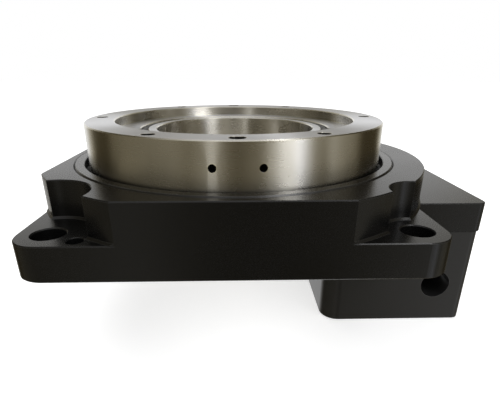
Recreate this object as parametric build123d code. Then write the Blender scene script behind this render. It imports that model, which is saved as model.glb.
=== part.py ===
"""Hollow rotary table: a steel table on a crossed-roller bearing, driven 10 to 1 by a helical pinion.

Millimetres. The origin is on the table's axis, in the plane of the housing's base face. +Z points
up out of the table and +X points at the motor block. Sizes are built up from the clear bore
outwards: sleeve, bearing, gear, table, ring and housing each start where the one before ends.
"""
from build123d import *
from math import acos, atan, ceil, cos, hypot, pi, radians, sin, sqrt, tan
import os

# Fixed centre sleeve around the clear bore
bore_diameter = 62.0
sleeve_wall = 3.4
sleeve_foot_thickness = 4.0
sleeve_foot_rim = 0.9
spigot_step = 1.6
countersink_land = 0.4

# Crossed-roller bearing: rollers lean 45 degrees left and right in turn
bearing_land = 4.7
bearing_section = 10.4
bearing_width = 11.0
roller_diameter = 5.0
roller_length = 4.8
roller_count = 24
race_clearance = 0.1
race_gap = 0.7
cage_thickness = 0.8
cage_clearance = 0.2
cage_inset = 0.8

# Ring that clamps the bearing's inner race on the sleeve
clamp_ring_thickness = 3.0
clamp_ring_counterbore = 1.8
clamp_ring_screw = 2.5
clamp_ring_screw_inset = 2.1
clamp_ring_screw_count = 8

# Helical gear pair
pinion_teeth = 11
normal_module = 1.0
helix_angle = 19.05
pressure_angle = 20.0
profile_shift = 0.25
backlash = 0.12
gear_width = 8.0
gear_lift = 0.8
gear_foot_gap = 1.1
gear_screw = 3.0
gear_screw_wall = 0.85
gear_screw_count = 8
gear_screw_grip = 7.0
pinion_overlap = 0.3

# Rotary table, which turns and carries the load
table_rim = 3.95
table_stand = 14.6
table_edge_chamfer = 0.35
table_recess_inset = 10.8
table_recess_depth = 3.7
table_web_gap = 1.0
table_hole_inset = 4.5
table_hole_diameter = 4.2
table_hole_depth = 12.0
table_hole_count = 6
table_pin_diameter = 5.0
table_front_angle = -89.0
side_hole_diameter = 2.5
side_hole_drop = 7.8
side_hole_depth = 6.0
side_hole_spread = 7.3

# Retainer ring and seals
seal_width = 3.1
seal_thickness = 4.0
seal_gap = 4.4
seal_lip_clearance = 0.1
ring_gap = 1.7
ring_seat = 2.3
ring_height = 3.5
ring_stand = 0.3
inner_seal_width = 2.9
inner_seal_thickness = 6.0
inner_seal_drop = 0.3

# Housing: a square foot with a round body on it, trimmed flush on three sides
housing_wall = 2.6
seat_wall = 2.0
base_height = 11.5
base_corner_radius = 9.0
floor_thickness = 4.0
root_chamfer = 0.7
edge_chamfer = 0.3
ear_hole_inset = 9.5
ear_hole_diameter = 10.0
ear_hole_chamfer = 0.35
bolt_pocket_land = 4.8
pin_hole_diameter = 5.0
pin_hole_inset = 4.1
pin_hole_step = 9.7
pin_pocket_land = 0.1
gear_room = 1.1
pinion_room = 0.6
pinion_wall = 1.43

# Motor block and its extension on the housing
motor_hole_circle = 70.0
motor_hole_diameter = 4.2
motor_hole_depth = 12.0
motor_hole_edge = 4.05
motor_pilot_diameter = 50.0
motor_pilot_depth = 3.0
motor_gap = 10.2
block_outer_corner = 3.0
block_inner_corner = 7.0
extension_margin = 0.45
block_screw = 3.0
block_screw_inset = 3.9
block_screw_spread = 6.35
block_screw_head_depth = 7.0
block_pin = 4.0
access_hole_diameter = 11.4

# Input side: slotted hub with its clamp collar
input_bore_diameter = 14.0
input_bore_depth = 20.0
shaft_wall = 1.5
hub_wall = 2.5
hub_slot = 1.5
collar_wall = 9.5
collar_width = 12.0
collar_slit = 2.0
collar_gap = 0.5
collar_room = 1.5
clamp_screw = 4.0
clamp_screw_seat = 5.0

# Pinion bearings: two deep-groove ball bearings side by side
ball_bearing_section = 6.5
ball_bearing_width = 7.0
ball_race_wall = 1.25
ball_race_gap = 1.3
ball_count = 8
ball_clearance = 0.06
ball_cage_thickness = 1.0
ball_cage_width = 5.2
partition = 1.0
partition_lip = 2.0
circlip_thickness = 1.0
circlip_width = 2.1
circlip_clearance = 0.3

# Screws and fits
sleeve_screw = 3.0
sleeve_screw_count = 6
head_ratio = 0.85
screw_clearance = 0.15
hole_chamfer = 0.2
fit_clearance = 0.02
press_clearance = 0.01

# Worked out, from the bore outwards
bore_radius = bore_diameter / 2
sleeve_radius = bore_radius + sleeve_wall
bearing_bore_radius = sleeve_radius + bearing_land
bearing_outer_radius = bearing_bore_radius + bearing_section
roller_pitch = (bearing_bore_radius + bearing_outer_radius) / 2
groove_half = (roller_diameter / 2 + race_clearance) * sqrt(2)
inner_race_radius = roller_pitch - race_gap
outer_race_radius = roller_pitch + race_gap
spigot_radius = bearing_bore_radius + spigot_step
sleeve_screw_circle = spigot_radius + sleeve_screw + countersink_land
sleeve_foot_radius = sleeve_screw_circle + sleeve_screw / 2 + sleeve_foot_rim
clamp_ring_screw_circle = bearing_bore_radius - clamp_ring_screw_inset

gear_head_radius = gear_screw * head_ratio + screw_clearance
gear_screw_circle = bearing_outer_radius + gear_head_radius + gear_screw_wall
transverse_module = normal_module / cos(radians(helix_angle))
transverse_pressure = atan(tan(radians(pressure_angle)) / cos(radians(helix_angle)))
gear_dedendum = normal_module * (1.25 + profile_shift)
gear_addendum = normal_module * (1 - profile_shift)
least_root = gear_screw_circle + gear_head_radius + gear_screw_wall
gear_teeth = ceil(2 * (least_root + gear_dedendum) / transverse_module)
gear_pitch = gear_teeth * transverse_module / 2
gear_tip = gear_pitch + gear_addendum
gear_root = gear_pitch - gear_dedendum
pinion_pitch = pinion_teeth * transverse_module / 2
pinion_tip = pinion_pitch + normal_module * (1 + profile_shift)
pinion_root = pinion_pitch - normal_module * (1.25 - profile_shift)
pinion_x = gear_pitch + pinion_pitch
pinion_cavity = pinion_tip + pinion_room

table_radius = gear_screw_circle + table_rim
table_bore_radius = sleeve_radius + inner_seal_width
recess_radius = table_radius - table_recess_inset
table_hole_circle = table_radius - table_hole_inset
cavity_radius = max(gear_tip + gear_room, table_radius + seal_width)
ring_inner_radius = table_radius + ring_gap
ring_outer_radius = cavity_radius + ring_seat
base_side = 2 * (ring_outer_radius + housing_wall)
body_radius = pinion_x + pinion_cavity + pinion_wall
ear_place = base_side / 2 - ear_hole_inset
bolt_pocket_radius = ear_hole_diameter / 2 + bolt_pocket_land
pin_distance = hypot(pin_hole_step, ear_hole_inset - pin_hole_inset)
pin_pocket_radius = pin_distance + pin_hole_diameter / 2 + pin_pocket_land

# Worked out, from the base face upwards
bearing_bottom = floor_thickness + sleeve_foot_thickness
bearing_middle = bearing_bottom + bearing_width / 2
bearing_top = bearing_bottom + bearing_width
clamp_ring_top = bearing_top + clamp_ring_thickness
table_web_bottom = clamp_ring_top + table_web_gap
gear_bottom = floor_thickness + gear_lift
gear_top = gear_bottom + gear_width
gear_middle = (gear_bottom + gear_top) / 2
seal_bottom = gear_top + seal_gap
ring_bottom = seal_bottom + seal_thickness
ring_top = ring_bottom + ring_height
body_height = ring_top - ring_stand
table_height = body_height + table_stand
recess_floor = table_height - table_recess_depth

# Worked out, from the pinion outwards and downwards
seat_radius = input_bore_diameter / 2 + shaft_wall
neck_radius = min(seat_radius, pinion_tip) - 0.1
hub_radius = seat_radius + hub_wall
collar_radius = hub_radius + collar_wall
clamp_screw_offset = (hub_radius + collar_radius) / 2
ball_bearing_radius = seat_radius + ball_bearing_section
ball_pitch = (seat_radius + ball_bearing_radius) / 2
ball_radius = ball_bearing_section / 2 - ball_race_wall
bearing_drop = circlip_thickness + circlip_clearance
bearing_floor = bearing_drop + 2 * ball_bearing_width
hub_length = partition + collar_gap + collar_width
collar_bottom = -bearing_floor - hub_length
block_height = -collar_bottom + motor_gap
motor_hole_place = motor_hole_circle / 2 / sqrt(2)
block_side = 2 * (motor_hole_place + motor_hole_edge)
extension_side = block_side + 2 * extension_margin
block_screw_x = block_side / 2 - block_screw_inset
block_screw_y = motor_hole_place - block_screw_spread

LOW = (Align.CENTER, Align.CENTER, Align.MIN)


def cylinder(radius, bottom, top, x=0.0, y=0.0):
    """Upright cylinder between two heights."""
    return Pos(x, y, bottom) * Cylinder(radius, top - bottom, align=LOW)


def tube(inner, outer, bottom, top, x=0.0, y=0.0):
    """Upright tube between two heights."""
    return cylinder(outer, bottom, top, x, y) - cylinder(inner, bottom - 1, top + 1, x, y)


def turned(points, x=0.0, y=0.0):
    """Solid of revolution about an upright axis, from (radius, height) points."""
    profile = make_face(Polyline(*[(r, 0, z) for r, z in points], close=True))
    return Pos(x, y, 0) * revolve(profile, Axis.Z)


def around(count, radius, start=0.0, x=0.0, y=0.0):
    """Evenly spaced (x, y) places on a circle."""
    angles = [radians(start + 360 * k / count) for k in range(count)]
    return [(x + radius * cos(angle), y + radius * sin(angle)) for angle in angles]


def drilled(radius, bottom, top, x, y, mouth=hole_chamfer):
    """Cutter for a hole that is open and chamfered at the top."""
    return turned([(0, bottom), (radius, bottom), (radius, top - mouth),
                   (radius + 2 * mouth, top + mouth), (0, top + mouth)], x, y)


def block(side, bottom, top):
    """Square block about the pinion's axis, rounder on the side of the table."""
    solid = Pos(pinion_x, 0, bottom) * Box(side, side, top - bottom, align=LOW)
    near, far = solid.edges().filter_by(Axis.Z).group_by(Axis.X)
    solid = fillet(far, block_outer_corner)
    near = solid.edges().filter_by(Axis.Z).group_by(Axis.X)[0]
    return fillet(near, block_inner_corner)


def rim_edges(solid, height):
    """The outline's edges at one height."""
    return solid.edges().filter_by_position(Axis.Z, height - 0.01, height + 0.01)


def socket_screw(size, head_seat, length, x, y, head_height=None, head_up=True):
    """Cap screw with a hexagon socket, its head seated at one height."""
    height = head_height or size
    head = Cylinder(size * head_ratio, height, align=LOW)
    head = chamfer(head.edges().sort_by(Axis.Z)[-1], size * 0.08)
    socket = Pos(0, 0, height - size * 0.55) * extrude(RegularPolygon(size * 0.47, 6), size)
    shank = Pos(0, 0, -length) * Cylinder(size / 2, length, align=LOW)
    screw = head + shank - socket
    return Pos(x, y, head_seat) * (screw if head_up else Rot(180, 0, 0) * screw)


def countersunk_screw(size, length, x, y):
    """Countersunk screw let in flush from the base face."""
    cone = size / 2
    screw = turned([(0, 0), (size, 0), (size / 2, cone), (size / 2, length), (0, length)])
    socket = extrude(RegularPolygon(size * 0.36, 6), cone * 0.8)
    return Pos(x, y, 0) * (screw - socket)


def involute(angle):
    return tan(angle) - angle


def tooth_flank(teeth, shift, tip, root, points):
    """Radius and half angle of one tooth flank, root to tip, for an involute tooth."""
    pitch = teeth * transverse_module / 2
    base = pitch * cos(transverse_pressure)
    thickness = transverse_module * pi / 2 + 2 * shift * normal_module * tan(transverse_pressure)
    half = (thickness - backlash / 2) / (2 * pitch)
    start = max(base, root)
    flank = []
    for step in range(points + 1):
        radius = start + (tip - start) * step / points
        flank.append((radius, half + involute(transverse_pressure) - involute(acos(base / radius))))
    if root < start:
        flank.insert(0, (root, flank[0][1]))
    return flank


def gear_outline(teeth, flank, turn, height):
    """Closed outline of all teeth at one height."""
    outline = []
    for tooth in range(teeth):
        middle = turn + 2 * pi * tooth / teeth
        rising = [(radius, middle - half) for radius, half in flank]
        falling = [(radius, middle + half) for radius, half in reversed(flank)]
        outline += [(radius * cos(angle), radius * sin(angle), height) for radius, angle in rising + falling]
    return Wire(Polyline(*outline, close=True).edges())


def helical_gear(teeth, flank, bottom, top, hand, first_tooth, sections):
    """Toothed solid whose outline turns with height along the helix."""
    pitch = teeth * transverse_module / 2
    outlines = []
    for step in range(sections + 1):
        height = bottom + (top - bottom) * step / sections
        twist = hand * (height - gear_middle) * tan(radians(helix_angle)) / pitch
        outlines.append(gear_outline(teeth, flank, radians(first_tooth) + twist, height))
    return Solid.make_loft(outlines, ruled=True)


def ear_places():
    """Middle and pocket radius of the four ears; two of them also hold a locating pin."""
    ear = ear_place
    return [(-ear, -ear, pin_pocket_radius), (ear, ear, pin_pocket_radius),
            (ear, -ear, bolt_pocket_radius), (-ear, ear, bolt_pocket_radius)]


def block_screw_places():
    return [(pinion_x + a * block_screw_x, b * block_screw_y) for a in (-1, 1) for b in (-1, 1)]


def block_pin_places():
    return [(pinion_x + block_screw_y, way * block_screw_x) for way in (-1, 1)]


def block_screw_tip(x):
    """Height that a block screw reaches: low where only the housing's floor is above it."""
    return floor_thickness if x < pinion_x else base_height - block_screw


def body_outline(grow):
    """The round body from above: flush with the foot on three sides, cut away over the ears."""
    half = base_side / 2
    trim = Pos((body_radius - half) / 2, 0) * Rectangle(body_radius + half, base_side)
    outline = Circle(body_radius + grow)
    for x, y, pocket in ear_places():
        outline -= Pos(x, y) * Circle(pocket - grow)
    outline += Circle(ring_outer_radius + seat_wall + grow)
    return outline & trim


def housing_shell():
    """Foot, body and motor extension, with chamfered edges and a sloped root round the body."""
    foot = Box(base_side, base_side, base_height, align=LOW)
    foot = fillet(foot.edges().filter_by(Axis.Z), base_corner_radius)
    foot = chamfer(rim_edges(foot, base_height), edge_chamfer)
    extension = block(extension_side, 0, base_height)
    extension = chamfer(rim_edges(extension, base_height), edge_chamfer)
    body = extrude(body_outline(0), body_height)
    body = chamfer(rim_edges(body, body_height), edge_chamfer)
    root = loft([Pos(0, 0, base_height) * body_outline(root_chamfer).face(),
                 Pos(0, 0, base_height + root_chamfer) * body_outline(0).face()], ruled=True)
    shell = foot + body + root + extension
    return chamfer(rim_edges(shell, 0), edge_chamfer)


def ear_cutters():
    cutters = [drilled(ear_hole_diameter / 2, -1, base_height, x, y, ear_hole_chamfer)
               for x, y, pocket in ear_places()]
    pin_y = base_side / 2 - pin_hole_inset
    for way in (-1, 1):
        place = (way * (ear_place - pin_hole_step), way * pin_y)
        cutters.append(drilled(pin_hole_diameter / 2, -1, base_height, *place))
    return cutters


def cavity_cutters():
    """Room for the table and gear with the ring's seat over it, the sleeve's seat and the pinion's room."""
    mouth = ring_outer_radius + 2 * edge_chamfer
    room = turned([(0, floor_thickness), (cavity_radius, floor_thickness), (cavity_radius, ring_bottom),
                   (ring_outer_radius, ring_bottom), (ring_outer_radius, body_height - edge_chamfer),
                   (mouth, body_height + edge_chamfer), (0, body_height + edge_chamfer)])
    seat = cylinder(spigot_radius + fit_clearance, -1, floor_thickness + 1)
    return [room, seat, cylinder(pinion_cavity, -1, gear_top + 1, pinion_x)]


def screw_cutters():
    """Countersinks for the sleeve's screws, and the threads and pin holes of the motor block."""
    cutters = []
    for x, y in around(sleeve_screw_count, sleeve_screw_circle):
        cutters.append(turned([(0, -1), (sleeve_screw, -1), (sleeve_screw, 0),
                               (sleeve_screw / 2, sleeve_screw / 2),
                               (sleeve_screw / 2, floor_thickness + 1), (0, floor_thickness + 1)], x, y))
    cutters += [cylinder(block_screw / 2, -1, block_screw_tip(x), x, y) for x, y in block_screw_places()]
    cutters += [cylinder(block_pin / 2, -1, base_height - block_pin, x, y) for x, y in block_pin_places()]
    return cutters


def make_housing():
    return housing_shell() - (ear_cutters() + cavity_cutters() + screw_cutters())


def make_retainer_ring():
    """Steel ring let into the housing's mouth, its outer edge chamfered into a V with the housing."""
    c = edge_chamfer
    outer = ring_outer_radius - fit_clearance
    return turned([(ring_inner_radius, ring_bottom), (outer, ring_bottom), (outer, ring_top - 2 * c - 0.2),
                   (outer - 2 * c, ring_top), (ring_inner_radius + c, ring_top),
                   (ring_inner_radius, ring_top - c)])


def make_table_seal():
    """Lip seal held under the ring, with its lip on the table."""
    lip = table_radius + seal_lip_clearance
    outer = cavity_radius - fit_clearance
    heel = ring_bottom - seal_thickness / 4
    return turned([(outer, seal_bottom), (outer, ring_bottom), (ring_inner_radius, ring_bottom),
                   (lip, heel - 0.2), (lip, heel - 1.0), (ring_inner_radius, heel - 0.6),
                   (ring_inner_radius, seal_bottom)])


def make_centre_sleeve():
    """Spigot in the housing's floor, screwed foot, bearing seat and thin tube up to the recess."""
    seat = bearing_bore_radius - fit_clearance
    shoulder = bearing_top - 0.1
    sleeve = turned([
        (bore_radius, 0), (spigot_radius, 0), (spigot_radius, floor_thickness),
        (sleeve_foot_radius, floor_thickness), (sleeve_foot_radius, bearing_bottom - 0.5),
        (inner_race_radius, bearing_bottom), (seat, bearing_bottom), (seat, shoulder),
        (sleeve_radius, shoulder), (sleeve_radius, recess_floor - edge_chamfer),
        (sleeve_radius - edge_chamfer, recess_floor), (bore_radius + edge_chamfer, recess_floor),
        (bore_radius, recess_floor - edge_chamfer)])
    threads = [cylinder(sleeve_screw / 2, floor_thickness - 1, sleeve_screw_tip + 0.3, x, y)
               for x, y in around(sleeve_screw_count, sleeve_screw_circle)]
    threads += [cylinder(clamp_ring_screw / 2, bearing_top - clamp_ring_screw_grip - 1, bearing_top + 1, x, y)
                for x, y in around(clamp_ring_screw_count, clamp_ring_screw_circle)]
    return sleeve - threads


sleeve_screw_tip = bearing_bottom - 1.5
clamp_ring_screw_grip = 2.4 * clamp_ring_screw


def make_sleeve_screws():
    return Compound([countersunk_screw(sleeve_screw, sleeve_screw_tip, x, y)
                     for x, y in around(sleeve_screw_count, sleeve_screw_circle)])


def groove_cutter():
    """Square ring standing on its edge: the V grooves of both races."""
    half, middle = groove_half, bearing_middle
    return turned([(roller_pitch - half, middle), (roller_pitch, middle - half),
                   (roller_pitch + half, middle), (roller_pitch, middle + half)])


def make_bearing_inner_ring():
    return tube(bearing_bore_radius, inner_race_radius, bearing_bottom, bearing_top) - groove_cutter()


def make_bearing_outer_ring():
    return tube(outer_race_radius, bearing_outer_radius, bearing_bottom, bearing_top) - groove_cutter()


def roller_place(number):
    lean = 45 if number % 2 else -45
    return Rot(0, 0, 360 * number / roller_count) * Pos(roller_pitch, 0, bearing_middle) * Rot(0, lean, 0)


def make_rollers():
    roller = Cylinder(roller_diameter / 2, roller_length)
    return Compound([roller_place(number) * roller for number in range(roller_count)])


def make_roller_cage():
    half = cage_thickness / 2
    bottom, top = bearing_bottom + cage_inset, bearing_top - cage_inset
    band = tube(roller_pitch - half, roller_pitch + half, bottom, top)
    window = Cylinder(roller_diameter / 2 + cage_clearance, roller_length + 2 * cage_clearance)
    return band - [roller_place(number) * window for number in range(roller_count)]


def make_clamp_ring():
    """Holds the inner race down on the sleeve's foot."""
    ring = tube(sleeve_radius + fit_clearance, inner_race_radius - 0.4, bearing_top, clamp_ring_top)
    seat = clamp_ring_top - clamp_ring_counterbore
    hole = clamp_ring_screw / 2 + screw_clearance
    head = clamp_ring_screw * head_ratio + screw_clearance
    cutters = []
    for x, y in around(clamp_ring_screw_count, clamp_ring_screw_circle):
        cutters.append(cylinder(hole, bearing_top - 1, seat + 1, x, y))
        cutters.append(cylinder(head, seat, clamp_ring_top + 1, x, y))
    return ring - cutters


def make_clamp_ring_screws():
    seat = clamp_ring_top - clamp_ring_counterbore
    length = seat - bearing_top + clamp_ring_screw_grip
    return Compound([socket_screw(clamp_ring_screw, seat, length, x, y, head_height=clamp_ring_counterbore)
                     for x, y in around(clamp_ring_screw_count, clamp_ring_screw_circle)])


def make_rotary_table():
    """Face with a recess, a web inwards over the bearing and a skirt down to the gear."""
    c = table_edge_chamfer
    skirt = bearing_outer_radius + fit_clearance
    shoulder = outer_race_radius + 0.8
    table = turned([
        (skirt, gear_top), (table_radius - 2 * c, gear_top), (table_radius, gear_top + 2 * c),
        (table_radius, table_height - c), (table_radius - c, table_height),
        (recess_radius + c, table_height), (recess_radius, table_height - c),
        (recess_radius, recess_floor), (table_bore_radius + c, recess_floor),
        (table_bore_radius, recess_floor - c), (table_bore_radius, table_web_bottom),
        (shoulder, table_web_bottom), (shoulder, bearing_top), (skirt, bearing_top)])
    return table - (face_cutters() + side_cutters() + gear_thread_cutters())


def face_cutters():
    """Six threaded holes and two pin holes on one circle, all from the face."""
    bottom = table_height - table_hole_depth
    first = table_front_angle + 180 / table_hole_count
    cutters = [drilled(table_hole_diameter / 2, bottom, table_height, x, y)
               for x, y in around(table_hole_count, table_hole_circle, first)]
    cutters += [drilled(table_pin_diameter / 2, bottom, table_height, x, y)
                for x, y in around(2, table_hole_circle, table_front_angle)]
    return cutters


def side_cutters():
    """Two small threaded holes side by side in the table's side."""
    drill = Rot(0, 90, 0) * Cylinder(side_hole_diameter / 2, side_hole_depth + 1, align=LOW)
    place = Pos(table_radius - side_hole_depth, 0, table_height - side_hole_drop)
    return [Rot(0, 0, table_front_angle + way * side_hole_spread) * place * drill for way in (-1, 1)]


def gear_thread_cutters():
    return [cylinder(gear_screw / 2, gear_top - 1, gear_top + gear_screw_grip + 1, x, y)
            for x, y in around(gear_screw_count, gear_screw_circle)]


def make_inner_seal():
    """Seal pressed into the table's bore, with two lips on the centre sleeve and a groove on top."""
    lip = sleeve_radius + seal_lip_clearance
    outer = table_bore_radius - fit_clearance
    top = recess_floor - inner_seal_drop
    bottom = top - inner_seal_thickness
    heel = lip + inner_seal_width / 3
    edge = outer - inner_seal_width / 4
    return turned([(outer, bottom), (outer, top - 0.7), (edge, top - 0.7), (edge, top), (heel, top),
                   (lip, top - 0.8), (lip, top - 1.6), (heel, top - 1.4), (heel, bottom + 1.4),
                   (lip, bottom + 1.0), (lip, bottom + 0.2), (heel, bottom)])


def make_ring_gear():
    """Toothed ring screwed under the table, with a lip under the bearing's outer race."""
    flank = tooth_flank(gear_teeth, -profile_shift, gear_tip, gear_root, 1)
    gear = helical_gear(gear_teeth, flank, gear_bottom, gear_top, 1, 0.0, 2)
    lip = sleeve_foot_radius + gear_foot_gap
    seat = bearing_outer_radius + fit_clearance
    cutters = [turned([(0, gear_bottom - 1), (lip, gear_bottom - 1), (lip, bearing_bottom),
                       (seat, bearing_bottom), (seat, gear_top + 1), (0, gear_top + 1)])]
    hole = gear_screw / 2 + screw_clearance
    for x, y in around(gear_screw_count, gear_screw_circle):
        cutters.append(turned([(0, gear_bottom - 1), (gear_head_radius, gear_bottom - 1),
                               (gear_head_radius, gear_bottom + gear_screw), (hole, gear_bottom + gear_screw),
                               (hole, gear_top + 1), (0, gear_top + 1)], x, y))
    return gear - cutters


def make_gear_screws():
    seat = gear_bottom + gear_screw
    length = gear_top - seat + gear_screw_grip
    return Compound([socket_screw(gear_screw, seat, length, x, y, head_up=False)
                     for x, y in around(gear_screw_count, gear_screw_circle)])


def make_motor_block():
    """Block with the motor's flange below, the collar's room in it and the bearing seat on top."""
    solid = block(block_side, -block_height, 0)
    solid = chamfer(rim_edges(solid, -block_height), edge_chamfer)
    room = collar_radius + collar_room
    pilot = motor_pilot_diameter / 2
    lip = ball_bearing_radius - partition_lip
    cutters = [turned([(0, -block_height - 1), (pilot, -block_height - 1),
                       (pilot, motor_pilot_depth - block_height), (room, motor_pilot_depth - block_height),
                       (room, -bearing_floor - partition), (lip, -bearing_floor - partition),
                       (lip, -bearing_floor), (ball_bearing_radius, -bearing_floor),
                       (ball_bearing_radius, 1), (0, 1)], pinion_x)]
    thread_top = motor_hole_depth - block_height
    cutters += [cylinder(motor_hole_diameter / 2, -block_height - 1, thread_top, x, y)
                for x, y in around(4, motor_hole_circle / 2, 45, pinion_x)]
    for x, y in block_screw_places():
        cutters.append(cylinder(block_screw / 2 + screw_clearance, -block_height, 1, x, y))
        cutters.append(cylinder(block_screw, -block_height - 1, -block_screw_head_depth, x, y))
    cutters += [cylinder(block_pin / 2, -1.5 * block_pin, 1, x, y) for x, y in block_pin_places()]
    cutters.append(across_clamp() * Cylinder(access_hole_diameter / 2, block_side, align=LOW))
    return solid - cutters


def across_clamp():
    """Place on the clamp screw's axis, level with the pinion's axis, looking out of the block's front."""
    return Pos(pinion_x + clamp_screw_offset, 0, collar_bottom + collar_width / 2) * Rot(90, 0, 0)


def make_block_screws():
    return Compound([socket_screw(block_screw, -block_screw_head_depth,
                                  block_screw_head_depth + block_screw_tip(x) - 0.2, x, y, head_up=False)
                     for x, y in block_screw_places()])


def make_block_pins():
    bottom, top = -1.4 * block_pin, base_height - block_pin - 0.5
    return Compound([cylinder(block_pin / 2 - press_clearance, bottom, top, x, y)
                     for x, y in block_pin_places()])


def ball_race(inner, outer, bottom):
    """Bearing ring with the balls' groove in it."""
    ring = tube(inner, outer, bottom, bottom + ball_bearing_width, pinion_x)
    groove = Torus(ball_pitch, ball_radius + ball_clearance)
    return ring - Pos(pinion_x, 0, bottom + ball_bearing_width / 2) * groove


def inner_ball_race(bottom):
    return ball_race(seat_radius, ball_pitch - ball_race_gap, bottom)


def outer_ball_race(bottom):
    return ball_race(ball_pitch + ball_race_gap, ball_bearing_radius - fit_clearance, bottom)


def make_balls(bottom):
    middle = bottom + ball_bearing_width / 2
    return Compound([Pos(x, y, middle) * Sphere(ball_radius)
                     for x, y in around(ball_count, ball_pitch, 0, pinion_x)])


def make_ball_cage(bottom):
    middle = bottom + ball_bearing_width / 2
    half = ball_cage_thickness / 2
    band = tube(ball_pitch - half, ball_pitch + half, middle - ball_cage_width / 2,
                middle + ball_cage_width / 2, pinion_x)
    pocket = Pos(ball_pitch, 0, 0) * Rot(0, 90, 0) * Cylinder(ball_radius + 0.1, 2 * ball_radius)
    return band - [Pos(pinion_x, 0, middle) * Rot(0, 0, 360 * number / ball_count) * pocket
                   for number in range(ball_count)]


def make_pinion_shaft():
    """Slotted hub, bearing seat, neck and helical teeth in one piece."""
    seat = seat_radius - press_clearance
    neck_top = gear_bottom - 1.8
    core = pinion_root - 0.1
    tooth_top = gear_top + pinion_overlap
    shaft = turned([(0, collar_bottom), (hub_radius, collar_bottom), (hub_radius, -bearing_floor - 1.2),
                    (hub_radius - 1.2, -bearing_floor), (seat, -bearing_floor), (seat, 0), (neck_radius, 0),
                    (neck_radius, neck_top), (core, neck_top), (core, tooth_top), (0, tooth_top)])
    bore = cylinder(input_bore_diameter / 2, collar_bottom - 1, collar_bottom + input_bore_depth)
    slot = Pos(0, 0, collar_bottom) * Box(2 * hub_radius + 2, hub_slot, hub_length - 3, align=LOW)
    groove = tube(circlip_seat, hub_radius, -bearing_drop, -bearing_drop + circlip_thickness)
    flank = tooth_flank(pinion_teeth, profile_shift, pinion_tip, pinion_root, 3)
    first_tooth = 180.0 + 180.0 / pinion_teeth
    teeth = helical_gear(pinion_teeth, flank, gear_bottom - pinion_overlap, tooth_top, -1, first_tooth, 5)
    return Pos(pinion_x, 0, 0) * (shaft - [bore, slot, groove] + teeth)


circlip_seat = seat_radius - 0.5


def make_shaft_circlip():
    """Spring ring in the shaft's groove, over the upper bearing."""
    outer = circlip_seat + circlip_width
    ring = tube(circlip_seat, outer, -bearing_drop, -bearing_drop + circlip_thickness, pinion_x)
    opening = Box(outer, outer / 2, 4 * circlip_thickness)
    return ring - Pos(pinion_x - outer, 0, -bearing_drop) * opening


def make_clamp_collar():
    """Slit collar that closes the hub on the motor's shaft."""
    collar_top = collar_bottom + collar_width
    collar = tube(hub_radius + fit_clearance, collar_radius, collar_bottom, collar_top, pinion_x)
    outer_edges = collar.edges().filter_by(GeomType.CIRCLE).group_by(SortBy.RADIUS)[-1]
    collar = chamfer(outer_edges, edge_chamfer)
    slit = Pos(pinion_x + collar_radius, 0, collar_bottom + collar_width / 2) * Box(
        2 * collar_wall + 2, collar_slit, collar_width + 2)
    through = across_clamp() * Cylinder(clamp_screw / 2 + screw_clearance, 4 * collar_radius)
    head_seat = across_clamp() * Pos(0, 0, clamp_screw_seat) * Cylinder(
        clamp_screw * head_ratio + screw_clearance, collar_radius, align=LOW)
    return collar - [slit, through, head_seat]


def make_clamp_screw():
    """Cap screw that closes the collar's slit, across the pinion's axis."""
    screw = socket_screw(clamp_screw, clamp_screw_seat, 2 * clamp_screw_seat + 3, 0, 0)
    return across_clamp() * screw


lower_bearing = -bearing_floor
upper_bearing = -bearing_floor + ball_bearing_width

pieces = {
    "housing": make_housing,
    "retainer_ring": make_retainer_ring,
    "table_seal": make_table_seal,
    "centre_sleeve": make_centre_sleeve,
    "sleeve_screws": make_sleeve_screws,
    "bearing_inner_ring": make_bearing_inner_ring,
    "bearing_clamp_ring": make_clamp_ring,
    "clamp_ring_screws": make_clamp_ring_screws,
    "motor_block": make_motor_block,
    "motor_block_screws": make_block_screws,
    "motor_block_pins": make_block_pins,
    "upper_bearing_outer_ring": lambda: outer_ball_race(upper_bearing),
    "lower_bearing_outer_ring": lambda: outer_ball_race(lower_bearing),
    "rotary_table": make_rotary_table,
    "inner_seal": make_inner_seal,
    "ring_gear": make_ring_gear,
    "ring_gear_screws": make_gear_screws,
    "bearing_outer_ring": make_bearing_outer_ring,
    "crossed_rollers": make_rollers,
    "roller_cage": make_roller_cage,
    "pinion_shaft": make_pinion_shaft,
    "shaft_circlip": make_shaft_circlip,
    "clamp_collar": make_clamp_collar,
    "clamp_screw": make_clamp_screw,
    "upper_bearing_inner_ring": lambda: inner_ball_race(upper_bearing),
    "lower_bearing_inner_ring": lambda: inner_ball_race(lower_bearing),
    "upper_bearing_balls": lambda: make_balls(upper_bearing),
    "upper_bearing_cage": lambda: make_ball_cage(upper_bearing),
    "lower_bearing_balls": lambda: make_balls(lower_bearing),
    "lower_bearing_cage": lambda: make_ball_cage(lower_bearing),
}

os.makedirs("parts", exist_ok=True)
for name, make in pieces.items():
    export_step(make(), f"parts/{name}.step")
print("teeth", gear_teeth, "and", pinion_teeth, "centre distance", round(pinion_x, 3))
print("foot", round(base_side, 3), "body", round(2 * body_radius, 3), "height", round(table_height, 3))
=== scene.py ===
# %% [markdown]
# # A hollow rotary table, dressed for its photograph
# The real object is a small indexing table: a bright steel ring that turns on a crossed-roller bearing,
# in a square black aluminium housing, with a black motor block hanging at its right.
# Its shapes come from a CAD model that is already packed, so this file adds what CAD has none of:
# a camera, a studio, and the finish of every piece.

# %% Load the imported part
import math

import bpy
from mathutils import Matrix, Vector


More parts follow.
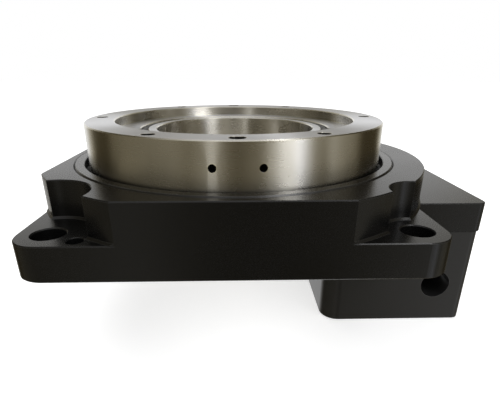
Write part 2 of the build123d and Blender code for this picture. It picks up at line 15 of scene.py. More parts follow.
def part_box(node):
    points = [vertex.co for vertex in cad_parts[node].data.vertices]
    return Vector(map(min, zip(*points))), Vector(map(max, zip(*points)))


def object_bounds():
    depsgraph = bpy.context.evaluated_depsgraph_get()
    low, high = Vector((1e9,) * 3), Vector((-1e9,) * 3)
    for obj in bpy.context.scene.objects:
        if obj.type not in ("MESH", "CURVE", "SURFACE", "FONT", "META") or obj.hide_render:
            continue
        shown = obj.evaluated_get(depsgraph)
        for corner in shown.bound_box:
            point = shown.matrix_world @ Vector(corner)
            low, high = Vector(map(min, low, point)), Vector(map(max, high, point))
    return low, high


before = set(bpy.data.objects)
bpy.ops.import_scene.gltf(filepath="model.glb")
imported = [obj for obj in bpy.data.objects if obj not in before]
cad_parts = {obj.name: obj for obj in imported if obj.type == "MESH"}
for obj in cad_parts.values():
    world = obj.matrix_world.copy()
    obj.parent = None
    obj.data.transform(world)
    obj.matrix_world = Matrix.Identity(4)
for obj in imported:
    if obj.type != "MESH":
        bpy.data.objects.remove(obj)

cad_low, cad_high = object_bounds()
MM = 0.001
print("nodes:", len(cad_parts), "size in mm:", [round(v / MM, 1) for v in cad_high - cad_low])

# %% [markdown]
# ## The camera
# The photograph is 500 by 420 pixels. The edges of the steel ring, the bore and the housing were matched
# to the CAD sizes, which gives one place and one direction for the camera: close in front, a little above,
# looking down 23 degrees. The lens is moderately wide, so the near corners look big, as they do in the photo.
# The picture's middle was a little above the lens's own axis, and a small lens shift gives that back.

# %% Place the camera
PHOTO_WIDTH, PHOTO_HEIGHT = 500, 420
SENSOR_MM = 36.0
focal_pixels = 397.9
lens_axis_pixel = (249.45, 238.67)
camera_place = Vector((0.99, -166.5, 56.9)) * MM
pitch, yaw, roll = (math.radians(v) for v in (23.17, 1.70, 0.15))

forward = Vector((math.sin(yaw) * math.cos(pitch), math.cos(yaw) * math.cos(pitch), -math.sin(pitch)))
level_right = Vector((math.cos(yaw), -math.sin(yaw), 0))
level_up = level_right.cross(forward)
right = level_right * math.cos(roll) + level_up * math.sin(roll)
up = level_up * math.cos(roll) - level_right * math.sin(roll)

camera_data = bpy.data.cameras.new("camera")
camera_data.sensor_fit = "HORIZONTAL"
camera_data.sensor_width = SENSOR_MM
camera_data.lens = focal_pixels / PHOTO_WIDTH * SENSOR_MM
camera_data.shift_x = 0.5 - lens_axis_pixel[0] / PHOTO_WIDTH
camera_data.shift_y = (lens_axis_pixel[1] - PHOTO_HEIGHT / 2) / PHOTO_WIDTH
camera_data.clip_start = 10 * MM
camera = bpy.data.objects.new("camera", camera_data)
camera.matrix_world = Matrix.Translation(camera_place) @ Matrix((right, up, -forward)).transposed().to_4x4()
bpy.context.scene.collection.objects.link(camera)
bpy.context.scene.camera = camera
bpy.context.scene.view_settings.view_transform = "Standard"
print("lens", round(camera_data.lens, 1), "mm, shift", round(camera_data.shift_y, 3))

# %% [markdown]
# ## Small helpers for node trees
# A material in Blender is a tree of nodes. Wiring one by hand takes three lines for every node, so two
# helpers do it in one: `add` makes a node and fills its inputs with numbers or with other nodes' outputs,
# and `calc` is the same for a bit of arithmetic.

# %% Node helpers
def fill(tree, made, inputs):
    """Sets each named or numbered input of a node to a number, or links it to another node's output."""
    for name, value in inputs.items():
        if isinstance(value, bpy.types.NodeSocket):
            tree.links.new(value, made.inputs[name])
        else:
            made.inputs[name].default_value = value


def add(tree, kind, inputs=None, **settings):
    """Makes a shader node, sets what it is told, and fills its inputs."""
    made = tree.nodes.new("ShaderNode" + kind)
    for name, value in settings.items():
        setattr(made, name, value)
    fill(tree, made, inputs or {})
    return made


def calc(tree, operation, *values, clamp=False):
    """One step of arithmetic; returns its result."""
    made = add(tree, "Math", dict(enumerate(values)), operation=operation, use_clamp=clamp)
    return made.outputs[0]


def between(tree, value, low, high, to_low=0.0, to_high=1.0):
    """value, stretched from low..high to to_low..to_high and held inside it."""
    inputs = {"Value": value, "From Min": low, "From Max": high, "To Min": to_low, "To Max": to_high}
    return add(tree, "MapRange", inputs).outputs["Result"]


def blend_colours(tree, factor, first, second):
    """first where factor is 0 and second where it is 1."""
    made = tree.nodes.new("ShaderNodeMix")
    made.data_type = "RGBA"
    fill(tree, made, {0: factor, 6: first, 7: second})
    return made.outputs[2]


def grey(level, tint=(1, 1, 1)):
    """A colour of one brightness, with a slight tint."""
    return (level * tint[0], level * tint[1], level * tint[2], 1)


print("helpers ready")

# %% [markdown]
# ## The studio
# Polished metal shows what stands around it more than its own colour. In the photo there is a white sweep
# behind the object and a darker room in front of it, with one bright window to the right of the camera and
# a narrow one to the left: that is where the tall light and dark bands on the steel ring come from.
# A world shader can tell which way a reflected ray leaves, so the room is drawn there as a ring of grey
# levels by compass direction, with white high above it. The sweep behind grows dim with height, which keeps
# the near part of the black top dark and its far part pale. What the camera sees directly is plain white.
# The light on the object itself is a plain, even level, so that colours look as they are written.

# %% The room that the metal reflects
WHITE = 1.0
SOFT_LIGHT = 0.62
DARK_ROOM = (
    (-180, 0.20), (-158, 0.23), (-134, 0.27), (-124, 0.20), (-114, 0.25), (-109, 0.60), (-104, 0.55),
    (-99, 0.18), (-88, 0.10), (-78, 0.16), (-70, 0.20), (-63, 0.45), (-56, 0.80), (-49, 0.66), (-43, 1.50),
    (-38, 1.00), (-31, 0.36), (-22, 0.24), (-15, 0.50), (-8, 0.36), (8, 0.24), (17, 0.05), (44, 0.05),
    (54, 0.60), (64, 1.0), (126, 1.0), (136, 0.50), (146, 0.06), (166, 0.06), (173, 0.18),
)
ROOM_TOP = 48.0
ROOM_FADE = 25.0
BACK_SIDE = (0.2, 0.5)
SWEEP_FADE = (16.0, 29.0)
SWEEP_LOSS = 0.5
WARMTH = (1.08, 1.32)


def direction_angles(tree):
    """A leaving ray's compass direction and height, in degrees, and how far it goes to the back."""
    direction = add(tree, "TexCoord").outputs["Generated"]
    parts = add(tree, "SeparateXYZ", {0: direction})
    compass = calc(tree, "DEGREES", calc(tree, "ARCTAN2", parts.outputs["Y"], parts.outputs["X"]))
    height = calc(tree, "DEGREES", calc(tree, "ARCSINE", parts.outputs["Z"]))
    return compass, height, parts.outputs["Y"]


def room_colour(tree):
    """The dark room's colour by direction: warm where it is dim, neutral where it is bright."""
    compass, height, backward = direction_angles(tree)
    ramp = add(tree, "ValToRGB", {0: between(tree, compass, -180.0, 180.0)})
    stops = ramp.color_ramp.elements
    while len(stops) > 1:
        stops.remove(stops[0])
    stops[0].position = 0
    for number, (angle, level) in enumerate(DARK_ROOM):
        stop = stops[0] if number == 0 else stops.new((angle + 180) / 360)
        stop.color = grey(level)
    high_behind = calc(tree, "MULTIPLY", between(tree, backward, *BACK_SIDE),
                       between(tree, height, *SWEEP_FADE))
    level = calc(tree, "MULTIPLY", ramp.outputs[0],
                 calc(tree, "SUBTRACT", 1.0, calc(tree, "MULTIPLY", high_behind, SWEEP_LOSS)))
    warm = add(tree, "CombineColor", {
        0: level, 1: calc(tree, "POWER", level, WARMTH[0]), 2: calc(tree, "POWER", level, WARMTH[1])})
    above = between(tree, height, ROOM_TOP, ROOM_TOP + ROOM_FADE)
    return blend_colours(tree, above, warm.outputs[0], grey(WHITE, (0.98, 0.98, 1.0)))


world = bpy.data.worlds.new("studio")
bpy.context.scene.world = world
world.use_nodes = True
tree = world.node_tree
tree.nodes.clear()
rays = add(tree, "LightPath")
soft = add(tree, "Background", {0: grey(1.0), 1: SOFT_LIGHT})
room = add(tree, "Background", {0: room_colour(tree), 1: WHITE})
white = add(tree, "Background", {0: grey(1.0), 1: WHITE})
mirrored = calc(tree, "MAXIMUM", rays.outputs["Is Glossy Ray"], rays.outputs["Is Transmission Ray"])
lit = add(tree, "MixShader", {0: mirrored, 1: soft.outputs[0], 2: room.outputs[0]})
seen = add(tree, "MixShader", {0: rays.outputs["Is Camera Ray"], 1: lit.outputs[0], 2: white.outputs[0]})
surface = tree.nodes.new("ShaderNodeOutputWorld")
tree.links.new(seen.outputs[0], surface.inputs[0])
print("room drawn with", len(DARK_ROOM), "levels")

# %% [markdown]
# ## Lamps
# Two wide soft lamps give the object a little shape: one above and behind, and one above the right shoulder
# of the camera. Wide lamps make soft shadows, where a small one would draw hard edges. Two tall lamps stand for
# the upper panes of the windows. They light nothing by themselves: only polished metal shows them, as the tall
# stripes in the bore. They could be bright patches in the world too, but a renderer finds a lamp more easily
# than a patch of world, so the picture has less noise.

# %% Lamps
LAMP_TARGET = Vector((0, 0, 0.02))
WINDOW_DISTANCE = 1.2
PANE_HEIGHT = 0.95


def soft_lamp(name, place, width, watts):
    """A square lamp that looks at the middle of the object; width in metres."""
    data = bpy.data.lights.new(name, "AREA")
    data.size = width
    data.energy = watts
    lamp = bpy.data.objects.new(name, data)
    lamp.location = place
    lamp.rotation_euler = (LAMP_TARGET - Vector(place)).to_track_quat("-Z", "Y").to_euler()
    bpy.context.scene.collection.objects.link(lamp)
    return lamp


for lamp in (soft_lamp("lamp_behind", (-0.15, 0.55, 0.75), 0.7, 4.0),
             soft_lamp("lamp_front", (0.45, -0.55, 0.65), 0.5, 2.5)):
    lamp.visible_glossy = False


def window(name, compass, height, width, watts):
    """A tall pane in a compass direction and at a height, both in degrees, that only reflections show."""
    angle, rise = math.radians(compass), math.radians(height)
    outward = Vector((math.cos(angle) * math.cos(rise), math.sin(angle) * math.cos(rise), math.sin(rise)))
    pane = soft_lamp(name, outward * WINDOW_DISTANCE, width, watts)
    pane.data.shape = "RECTANGLE"
    pane.data.size_y = PANE_HEIGHT
    pane.visible_camera = pane.visible_diffuse = False


window("window_right", -49, 36, 0.29, 4.6)
window("window_left", -106.5, 36, 0.09, 0.5)

# %% [markdown]
# ## The floor
# The photo's background is plain white, with hardly a shadow. The floor is one flat sheet just under the
# lowest point. It glows a little by itself, for the camera alone, so that it reads as white, and still darkens
# where the object keeps the light off it. Stronger lamps would whiten it too, but would wash out the object.

# %% Floor
FLOOR_REACH = 3.0
FLOOR_GAP = 0.2 * MM
FLOOR_GLOW = 0.60

floor_mesh = bpy.data.meshes.new("floor")
floor_level = cad_low.z - FLOOR_GAP
corners = [(x * FLOOR_REACH, y * FLOOR_REACH, floor_level) for x, y in ((-1, -1), (1, -1), (1, 1), (-1, 1))]
floor_mesh.from_pydata(corners, [], [(0, 1, 2, 3)])
floor = bpy.data.objects.new("floor", floor_mesh)
bpy.context.scene.collection.objects.link(floor)
floor.visible_glossy = False

paper = bpy.data.materials.new("white_paper")
paper.use_nodes = True
tree = paper.node_tree
tree.nodes.clear()
sheet = add(tree, "BsdfDiffuse", {"Color": grey(0.8)})
glow = add(tree, "Emission", {"Color": grey(1.0), "Strength": FLOOR_GLOW})
both = add(tree, "AddShader", {0: sheet.outputs[0], 1: glow.outputs[0]})
plain = add(tree, "MixShader", {0: add(tree, "LightPath").outputs["Is Camera Ray"], 1: sheet.outputs[0],
                                2: both.outputs[0]})
tree.links.new(plain.outputs[0], tree.nodes.new("ShaderNodeOutputMaterial").inputs[0])
floor_mesh.materials.append(paper)
print("floor at z =", round(floor_level / MM, 1), "mm")

# %% [markdown]
# ## Effects that several finishes share
# Turned metal has fine grooves round its axis, blasted metal has a fine even grain, corners are rubbed
# lighter and also carry painted highlights, closed-in places get painted shade, and every handled surface has
# faint cloudy patches. Each of these is wanted in several materials, so each is built once as a node group
# with named inputs, like a small machine with knobs. The groups only put out numbers; the shader that uses
# them stays in the material, where an exporter can read it.

# %% Group maker
def new_group(name, inputs, outputs):
    """An empty shader node group with these named inputs (with their values) and outputs."""
    tree = bpy.data.node_groups.new(name, "ShaderNodeTree")
    for label, value in inputs.items():
        kind = "NodeSocketVector" if isinstance(value, tuple) else "NodeSocketFloat"
        socket = tree.interface.new_socket(label, in_out="INPUT", socket_type=kind)
        socket.default_value = value
    for label in outputs:
        tree.interface.new_socket(label, in_out="OUTPUT", socket_type="NodeSocketFloat")
    return tree, tree.nodes.new("NodeGroupInput").outputs, tree.nodes.new("NodeGroupOutput")


def place_group(tree, group, **inputs):
    """Puts a group into a material with its own values; underscores in the names stand for spaces."""
    made = tree.nodes.new("ShaderNodeGroup")
    made.node_tree = group
    fill(tree, made, {name.replace("_", " "): value for name, value in inputs.items()})
    return made.outputs


# %% [markdown]
# ### Turning grooves
# A lathe tool leaves one long fine thread-like groove. The group takes the point's distance from the axis
# and its height, adds them into one number that changes across the grooves on both a flat face and a
# cylinder, and looks that number up in a noise that changes slowly round the axis. Height is the fine groove
# itself, and Tone is a broader band of neighbouring grooves that took the light a little differently.

# %% Turning grooves
RISE_SHARE = 0.83
BAND_STRETCH = (0.12, 0.12, 0.25)

turning, given, result = new_group(
    "turning grooves", {"Axis": (0.0, 0.0, 0.0), "Pitch": 0.0002, "Streak": 3.0}, ["Height", "Tone"])
point = add(turning, "TexCoord").outputs["Object"]
from_axis = add(turning, "VectorMath", {0: point, 1: given["Axis"]}, operation="SUBTRACT").outputs[0]
parts = add(turning, "SeparateXYZ", {0: from_axis}).outputs
reach = calc(turning, "SQRT", calc(turning, "ADD", calc(turning, "MULTIPLY", parts["X"], parts["X"]),
                                   calc(turning, "MULTIPLY", parts["Y"], parts["Y"])))
across = calc(turning, "DIVIDE", calc(turning, "MULTIPLY_ADD", parts["Z"], RISE_SHARE, reach), given["Pitch"])
round_x = calc(turning, "MULTIPLY", calc(turning, "DIVIDE", parts["X"], reach), given["Streak"])
round_y = calc(turning, "MULTIPLY", calc(turning, "DIVIDE", parts["Y"], reach), given["Streak"])
place = add(turning, "CombineXYZ", {0: round_x, 1: round_y, 2: across}).outputs[0]
grooves = add(turning, "TexNoise", {"Vector": place, "Scale": 1.0, "Detail": 2.0, "Roughness": 0.6})
slow = add(turning, "VectorMath", {0: place, 1: BAND_STRETCH}, operation="MULTIPLY").outputs[0]
bands = add(turning, "TexNoise", {"Vector": slow, "Scale": 1.0, "Detail": 1.0, "Roughness": 0.4})
turning.links.new(grooves.outputs[0], result.inputs["Height"])
turning.links.new(between(turning, bands.outputs[0], 0.3, 0.7), result.inputs["Tone"])
print("group:", turning.name)

# %% [markdown]
# ### Fine grain
# Blasted and anodised aluminium has a fine even grain, and so have black oxide, moulded rubber and nylon. It
# could be a picture laid over the surface, but noise needs no unwrapping and stays sharp close up. The group
# mixes plain noise with the rounded pits of a cell pattern, at a fraction of a millimetre.

# %% Grain
grain, given, result = new_group("fine grain", {"Size": 0.0004}, ["Height", "Tone"])
point = add(grain, "TexCoord").outputs["Object"]
scale = calc(grain, "DIVIDE", 1.0, given["Size"])
noise = add(grain, "TexNoise", {"Vector": point, "Scale": scale, "Detail": 2.0, "Roughness": 0.6})
cells = add(grain, "TexVoronoi", {"Vector": point, "Scale": calc(grain, "MULTIPLY", scale, 0.7)})
pits = between(grain, cells.outputs["Distance"], 0.0, 0.6)
grain.links.new(calc(grain, "MULTIPLY_ADD", pits, 0.4, noise.outputs[0]), result.inputs["Height"])
grain.links.new(between(grain, noise.outputs[0], 0.35, 0.65), result.inputs["Tone"])
print("group:", grain.name)

# %% [markdown]
# ### Scuffed and highlighted edges
# A black skin is rubbed off where hands and tools touch it, and a turned rim is a little paler than its sides.
# The same mask also paints the thin light lines that edges and fillets catch, as painted highlights.
# The Bevel node is asked what the normal would be if the edge were rounded: where that differs from the real
# normal, an edge is near. A slow noise then keeps the wear and the painted highlights from being as even as a
# drawn line.

# %% Scuffed and highlighted edges
edges, given, result = new_group("scuffed and highlighted edges", {"Width": 0.0005, "Patchiness": 0.5}, ["Mask"])
rounded = add(edges, "Bevel", {"Radius": given["Width"]}, samples=8).outputs[0]
flat = add(edges, "NewGeometry").outputs["Normal"]
turn = add(edges, "VectorMath", {0: rounded, 1: flat}, operation="DOT_PRODUCT").outputs["Value"]
near_edge = between(edges, turn, 0.995, 0.85)
point = add(edges, "TexCoord").outputs["Object"]
patches = add(edges, "TexNoise", {"Vector": point, "Scale": 180.0, "Detail": 3.0}).outputs[0]
kept = between(edges, patches, 0.35, 0.65, calc(edges, "SUBTRACT", 1.0, given["Patchiness"]), 1.0)
edges.links.new(calc(edges, "MULTIPLY", near_edge, kept), result.inputs["Mask"])
print("group:", edges.name)

# %% [markdown]
# ### Cloudy patches and painted crevice shade
# The cloudy patches are a slow noise, a few centimetres wide, for handling marks and uneven polish.
# Little light gets into tapped holes, grooves and screw sockets, so their shade is painted in as a dark colour.
# The Ambient Occlusion node measures how closed in a point is, so it says where that is.

# %% Cloudy patches and painted crevice shade
clouds, given, result = new_group("cloudy patches", {"Size": 0.03, "Contrast": 1.0}, ["Tone"])
point = add(clouds, "TexCoord").outputs["Object"]
scale = calc(clouds, "DIVIDE", 1.0, given["Size"])
noise = add(clouds, "TexNoise", {"Vector": point, "Scale": scale, "Detail": 4.0, "Roughness": 0.55})
spread = calc(clouds, "MULTIPLY", calc(clouds, "SUBTRACT", noise.outputs[0], 0.5), given["Contrast"])
clouds.links.new(calc(clouds, "ADD", spread, 0.5, clamp=True), result.inputs["Tone"])

# Painted shade: the mask is 1 where a point is closed in, and the turned steel darkens it there.
crevices, given, result = new_group("painted crevice shade", {"Reach": 0.003}, ["Mask"])
open_share = add(crevices, "AmbientOcclusion", {"Distance": given["Reach"]}, samples=16).outputs["AO"]
crevices.links.new(between(crevices, open_share, 0.52, 0.22), result.inputs["Mask"])
print("groups:", clouds.name, "and", crevices.name)

# %% [markdown]
# ## Two helpers for materials
# Every finish starts as an empty material with one Principled shader, and most have a fine relief. As real
# geometry a relief of a few microns would cost millions of faces, so it is a bump: only the normal tilts.

# %% Material helpers
def new_material(name):
    """An empty material; returns it with its node tree and its Principled shader."""
    made = bpy.data.materials.new(name)
    made.use_nodes = True
    shader = made.node_tree.nodes["Principled BSDF"]
    return made, made.node_tree, shader


def bump(tree, height, distance, strength):
    """A normal that is tilted by a height."""
    return add(tree, "Bump", {"Height": height, "Distance": distance, "Strength": strength}).outputs[0]


print("material helpers ready")

# %% [markdown]
# ## Black anodised aluminium
# The housing and the motor block are machined from aluminium, lightly blasted and anodised black. Straight
# on it is almost black, and at a flat angle it turns to a soft grey sheen. That is what a dark base colour
# with a low specular level does: Fresnel keeps the mirror weak straight on and strong at a grazing angle.
# The grain goes into bump and roughness, and the sharp edges show a little bare metal, partly wear and partly
# a painted highlight. Where the block is screwed up against the housing, the hair-thin shadow in the joint is
# painted into the skin, by height.

# %% Anodised finish
# Painted shadow: the hair-thin joint between block and housing is a near-black band of colour.
JOINT_SHADOW_WIDTH = 0.15 * MM
JOINT_SHADOW_BLACK = grey(0.0005)
# Edges turn towards this pale grey: partly rubbed-off skin, partly painted highlight.
BARE_ALUMINIUM_AND_HIGHLIGHT = grey(0.30, (1.0, 0.99, 0.95))
SKIN_IOR = 1.7


def anodised(name, dark, light, roughness, specular, wear_and_highlight):
    """Near-black anodised aluminium, with a painted shadow line at z = 0, where block and housing meet."""
    made, tree, shader = new_material(name)
    fine = place_group(tree, grain, Size=0.00035)
    patches = place_group(tree, clouds, Size=0.035, Contrast=1.6)
    edge_wear_and_highlight = place_group(tree, edges, Width=0.00045, Patchiness=0.45)
    tone = calc(tree, "MULTIPLY_ADD", fine["Tone"], 0.4, calc(tree, "MULTIPLY", patches["Tone"], 0.6))
    black = blend_colours(tree, tone, grey(dark, (1.0, 1.0, 0.97)), grey(light, (1.0, 1.0, 1.02)))
    # Paler edges: partly wear, partly painted highlight.
    bare_and_highlight = calc(tree, "MULTIPLY", edge_wear_and_highlight["Mask"], wear_and_highlight)
    # Painted shadow in the joint at z = 0.
    height = add(tree, "SeparateXYZ", {0: add(tree, "TexCoord").outputs["Object"]}).outputs["Z"]
    joint_shadow = between(tree, calc(tree, "ABSOLUTE", height), JOINT_SHADOW_WIDTH, JOINT_SHADOW_WIDTH * 2)
    fill(tree, shader, {
        "Base Color": blend_colours(tree, joint_shadow, JOINT_SHADOW_BLACK, blend_colours(tree, bare_and_highlight, black, BARE_ALUMINIUM_AND_HIGHLIGHT)),
        "Roughness": between(tree, tone, 0.0, 1.0, roughness - 0.04, roughness + 0.04),
        "IOR": SKIN_IOR,
        "Specular IOR Level": specular,
        "Normal": bump(tree, fine["Height"], 0.00002, 0.35)})
    return made


black_housing = anodised("black_anodised_housing", 0.0026, 0.0048, 0.26, 0.20, 0.12)
black_block = anodised("black_anodised_block", 0.012, 0.017, 0.34, 0.26, 0.2)
black_ring = anodised("black_anodised_ring", 0.004, 0.007, 0.26, 0.32, 0.3)
print("materials:", black_housing.name, black_block.name, black_ring.name)

# %% [markdown]
# ## Turned and ground steel
# The table's side and the sleeve's bore are turned, its top face is ground. Grooves that run round a
# cylinder smear a reflection up and down but not sideways, which is why the bands on the ring are tall and
# straight. The shader's anisotropy does this, with the tangent taken round the Z axis.
# The steel itself is a warm light grey. Its upward faces get a darker, cooler copy of that colour: painted
# shade and a painted tint of what they reflect. The rim is paler, partly rubbed and partly a painted highlight.
# Seen this flat, only the first half millimetre of a tapped hole shows, so shade is painted into the holes on
# their circle, by place, and into other closed-in places.

# %% Turned steel
# Painted shade: the tapped holes on this circle and other closed-in places turn near black.
HOLE_CIRCLE, HOLE_REACH = 52.5 * MM, 2.7 * MM
# The rim colour: partly wear, partly painted highlight.
RIM_WEAR_AND_HIGHLIGHT, RIM_COLOUR = 0.85, (0.88, 0.85, 0.66, 1)
SHADOW_DEPTH, SHADOW_BLACK = 0.96, grey(0.012)
GROOVE_DEPTH, GROOVE_STRENGTH = 0.000006, 0.01
SMEAR = 0.95


def upward(tree):
    """1 on faces that look straight up, 0 on the others."""
    normal = add(tree, "NewGeometry").outputs["True Normal"]
    return between(tree, add(tree, "SeparateXYZ", {0: normal}).outputs["Z"], 0.9, 0.97)


# The mask for painted shade in the tapped holes.
def inside_holes(tree, circle, reach, top):
    """1 inside the holes whose middles lie on a circle of this radius, below a face at this height."""
    parts = add(tree, "SeparateXYZ", {0: add(tree, "TexCoord").outputs["Object"]}).outputs
    from_axis = calc(tree, "SQRT", calc(tree, "ADD", calc(tree, "MULTIPLY", parts["X"], parts["X"]),
                                        calc(tree, "MULTIPLY", parts["Y"], parts["Y"])))
    below = between(tree, parts["Z"], top - 0.04 * MM, top - 0.15 * MM)
    return calc(tree, "MULTIPLY", calc(tree, "COMPARE", from_axis, circle, reach), below)


def turned(name, side, top, roughness, top_roughness, pitch):
    """Lathe-turned metal: side is the colour of its walls and top the colour of its upward faces."""
    made, tree, shader = new_material(name)
    marks = place_group(tree, turning, Pitch=pitch, Streak=4.0)
    broad = place_group(tree, turning, Pitch=pitch * 6, Streak=1.5)
    patches = place_group(tree, clouds, Size=0.02, Contrast=1.5)
    edge_wear_and_highlight = place_group(tree, edges, Width=0.0006, Patchiness=0.3)
    flat = upward(tree)
    # Painted shade and tint: the upward faces take the darker, cooler top colour.
    plain = blend_colours(tree, flat, (*side, 1), (*top, 1))
    darker = blend_colours(tree, calc(tree, "MULTIPLY", broad["Tone"], 0.06), plain, grey(0.18))
    # Paler rim: partly wear, partly painted highlight.
    worn_lit_and_shaded = blend_colours(tree, calc(tree, "MULTIPLY", edge_wear_and_highlight["Mask"], RIM_WEAR_AND_HIGHLIGHT), darker, RIM_COLOUR)
    # Painted shade in closed-in places and in the tapped holes.
    painted_shade = calc(tree, "MAXIMUM", place_group(tree, crevices, Reach=0.0045)["Mask"],
                inside_holes(tree, HOLE_CIRCLE, HOLE_REACH, cad_high.z))
    worn_lit_and_shaded = blend_colours(tree, calc(tree, "MULTIPLY", painted_shade, SHADOW_DEPTH), worn_lit_and_shaded, SHADOW_BLACK)
    base = between(tree, flat, 0.0, 1.0, roughness, top_roughness)
    grooved = calc(tree, "MULTIPLY_ADD", marks["Tone"], 0.015, base)
    varied = calc(tree, "MULTIPLY_ADD", patches["Tone"], 0.08, grooved)
    tangent = add(tree, "Tangent", direction_type="RADIAL", axis="Z").outputs[0]
    fill(tree, shader, {
        "Base Color": worn_lit_and_shaded,
        "Metallic": 1.0,
        "Roughness": calc(tree, "SUBTRACT", varied, 0.06),
        "Anisotropic": SMEAR,
        "Anisotropic Rotation": 0.25,
        "Tangent": tangent,
        "Normal": bump(tree, marks["Height"], GROOVE_DEPTH, GROOVE_STRENGTH)})
    return made


# The top colours are darker and cooler than the walls: painted shade and tint on the upward faces.
table_steel = turned("turned_table_steel", (0.60, 0.58, 0.53), (0.50, 0.50, 0.51), 0.29, 0.36, 0.0002)
sleeve_steel = turned("turned_sleeve_steel", (0.64, 0.62, 0.57), (0.50, 0.50, 0.50), 0.28, 0.34, 0.00016)
print("materials:", table_steel.name, sleeve_steel.name)

# %% [markdown]
# ## The steels inside
# Bearing races are hardened and ground, rollers and balls are polished almost to a mirror, gears are cut
# steel with a film of oil, and the roller cage is pressed sheet. They share one recipe: a metal colour, the
# turning grooves round their own axis, cloudy patches, and a clear coat where oil lies on them.

# %% Inner steels
pinion_low, pinion_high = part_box("pinion_shaft")
pinion_axis = ((pinion_low.x + pinion_high.x) / 2, 0.0, 0.0)
STAIN = (0.62, 0.58, 0.52)
EDGE_GAIN = 1.35


def machined(name, colour, roughness, pitch=0.0002, axis=(0.0, 0.0, 0.0), oil=0.0, groove=0.000004,
             wear_and_highlight=0.4):
    """Plain machined steel, with a film of oil where oil is above 0."""
    made, tree, shader = new_material(name)
    marks = place_group(tree, turning, Axis=axis, Pitch=pitch, Streak=5.0)
    patches = place_group(tree, clouds, Size=0.012, Contrast=1.8)
    edge_wear_and_highlight = place_group(tree, edges, Width=0.00035, Patchiness=0.5)
    brown = (*(part * share for part, share in zip(colour, STAIN)), 1)
    stained = blend_colours(tree, calc(tree, "MULTIPLY", patches["Tone"], 0.3), (*colour, 1), brown)
    bright = (*(min(1, part * EDGE_GAIN) for part in colour), 1)
    fill(tree, shader, {
        "Base Color": blend_colours(tree, calc(tree, "MULTIPLY", edge_wear_and_highlight["Mask"], wear_and_highlight), stained, bright),
        "Metallic": 1.0,
        "Roughness": between(tree, marks["Tone"], 0.0, 1.0, roughness - 0.04, roughness + 0.08),
        "Coat Weight": oil,
        "Coat Roughness": 0.12,
        "Normal": bump(tree, marks["Height"], groove, 0.5)})
    return made


race_steel = machined("ground_race_steel", (0.62, 0.61, 0.60), 0.22)
pinion_race_steel = machined("pinion_race_steel", (0.62, 0.61, 0.60), 0.22, axis=pinion_axis)
roller_steel = machined("polished_roller_steel", (0.72, 0.71, 0.70), 0.12, groove=0.000001, wear_and_highlight=0.2)
gear_steel = machined("oiled_gear_steel", (0.45, 0.43, 0.40), 0.30, oil=0.35)
pinion_steel = machined("oiled_pinion_steel", (0.47, 0.45, 0.42), 0.28, axis=pinion_axis, oil=0.35)
clamp_steel = machined("clamp_ring_steel", (0.50, 0.49, 0.47), 0.34)
collar_steel = machined("clamp_collar_steel", (0.42, 0.42, 0.42), 0.36, axis=pinion_axis, pitch=0.0003)
cage_steel = machined("pressed_cage_steel", (0.50, 0.46, 0.36), 0.38, groove=0.000008)
pin_steel = machined("ground_pin_steel", (0.60, 0.59, 0.58), 0.26)
print("pinion axis at x =", round(pinion_axis[0] / MM, 2), "mm")

# %% [markdown]
# ## Black screws, rubber and nylon
# The screws have a black oxide skin: very dark steel, a little glossy, rubbed bright on the corners of the
# hexagon. The seals are nitrile rubber, dark and slightly greasy, with a fine moulded grain. The ball cages
# are glass-filled nylon, a cream plastic that lets a little light in.

# %% Black oxide, rubber and nylon
def black_oxide(name):
    """Steel with a black oxide skin that is rubbed off its corners."""
    made, tree, shader = new_material(name)
    fine = place_group(tree, grain, Size=0.0002)
    patches = place_group(tree, clouds, Size=0.006, Contrast=2.0)
    edge_wear_and_highlight = place_group(tree, edges, Width=0.00025, Patchiness=0.6)
    skin = blend_colours(tree, patches["Tone"], grey(0.030, (0.9, 0.95, 1.1)), grey(0.060, (1.1, 1.0, 0.9)))
    fill(tree, shader, {
        "Base Color": blend_colours(tree, calc(tree, "MULTIPLY", edge_wear_and_highlight["Mask"], 0.5), skin, grey(0.45)),
        "Metallic": 0.85,
        "Roughness": between(tree, fine["Tone"], 0.0, 1.0, 0.30, 0.42),
        "Normal": bump(tree, fine["Height"], 0.00001, 0.4)})
    return made


def rubber(name):
    """Moulded nitrile rubber with traces of grease and dust."""
    made, tree, shader = new_material(name)
    fine = place_group(tree, grain, Size=0.00025)
    patches = place_group(tree, clouds, Size=0.008, Contrast=2.2)
    marks = place_group(tree, turning, Pitch=0.0005, Streak=2.0)
    dusty = calc(tree, "MULTIPLY", calc(tree, "MULTIPLY", patches["Tone"], marks["Tone"]), 0.35)
    fill(tree, shader, {
        "Base Color": blend_colours(tree, dusty, grey(0.016), grey(0.12, (1.0, 0.98, 0.92))),
        "Roughness": between(tree, patches["Tone"], 0.0, 1.0, 0.42, 0.62),
        "Normal": bump(tree, fine["Height"], 0.00002, 0.4)})
    return made


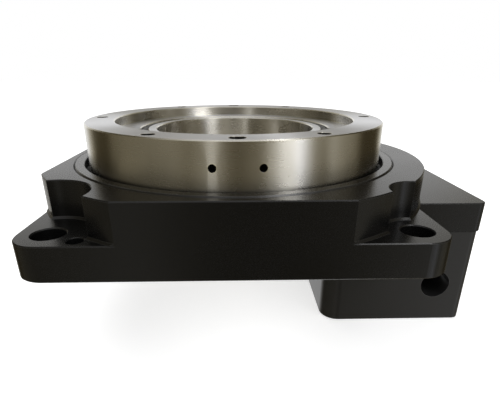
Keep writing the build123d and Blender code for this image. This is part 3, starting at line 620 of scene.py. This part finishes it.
def nylon(name):
    """Glass-filled nylon in cream, with darker flow marks."""
    made, tree, shader = new_material(name)
    fine = place_group(tree, grain, Size=0.0003)
    patches = place_group(tree, clouds, Size=0.005, Contrast=1.8)
    fill(tree, shader, {
        "Base Color": blend_colours(tree, patches["Tone"], (0.62, 0.56, 0.38, 1), (0.76, 0.71, 0.54, 1)),
        "Roughness": between(tree, fine["Tone"], 0.0, 1.0, 0.38, 0.50),
        "Subsurface Weight": 0.12,
        "Subsurface Scale": 0.001,
        "Normal": bump(tree, fine["Height"], 0.00001, 0.4)})
    return made


screw_black = black_oxide("black_oxide")
seal_rubber = rubber("nitrile_rubber")
cage_nylon = nylon("cream_nylon")
print("materials:", screw_black.name, seal_rubber.name, cage_nylon.name)

# %% [markdown]
# ## Dress every node
# The CAD nodes keep their shapes and places. Only the material in their slot changes, by the node's name.

# %% Give each node its material
finishes = {
    black_housing: ["housing"],
    black_block: ["motor_block"],
    table_steel: ["rotary_table"],
    sleeve_steel: ["centre_sleeve"],
    black_ring: ["retainer_ring"],
    race_steel: ["bearing_inner_ring", "bearing_outer_ring"],
    pinion_race_steel: [f"{level}_bearing_{ring}_ring"
                        for level in ("upper", "lower") for ring in ("inner", "outer")],
    roller_steel: ["crossed_rollers", "upper_bearing_balls", "lower_bearing_balls"],
    gear_steel: ["ring_gear"],
    pinion_steel: ["pinion_shaft"],
    clamp_steel: ["bearing_clamp_ring"],
    collar_steel: ["clamp_collar"],
    cage_steel: ["roller_cage"],
    pin_steel: ["motor_block_pins"],
    screw_black: ["sleeve_screws", "clamp_ring_screws", "motor_block_screws", "ring_gear_screws", "clamp_screw",
                  "shaft_circlip"],
    seal_rubber: ["table_seal", "inner_seal"],
    cage_nylon: ["upper_bearing_cage", "lower_bearing_cage"],
}
dressed = set()
for finish, names in finishes.items():
    for name in names:
        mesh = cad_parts[name].data
        mesh.materials.clear()
        mesh.materials.append(finish)
        dressed.add(name)
print("dressed", len(dressed), "of", len(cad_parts), "nodes; left over:", set(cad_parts) - dressed)
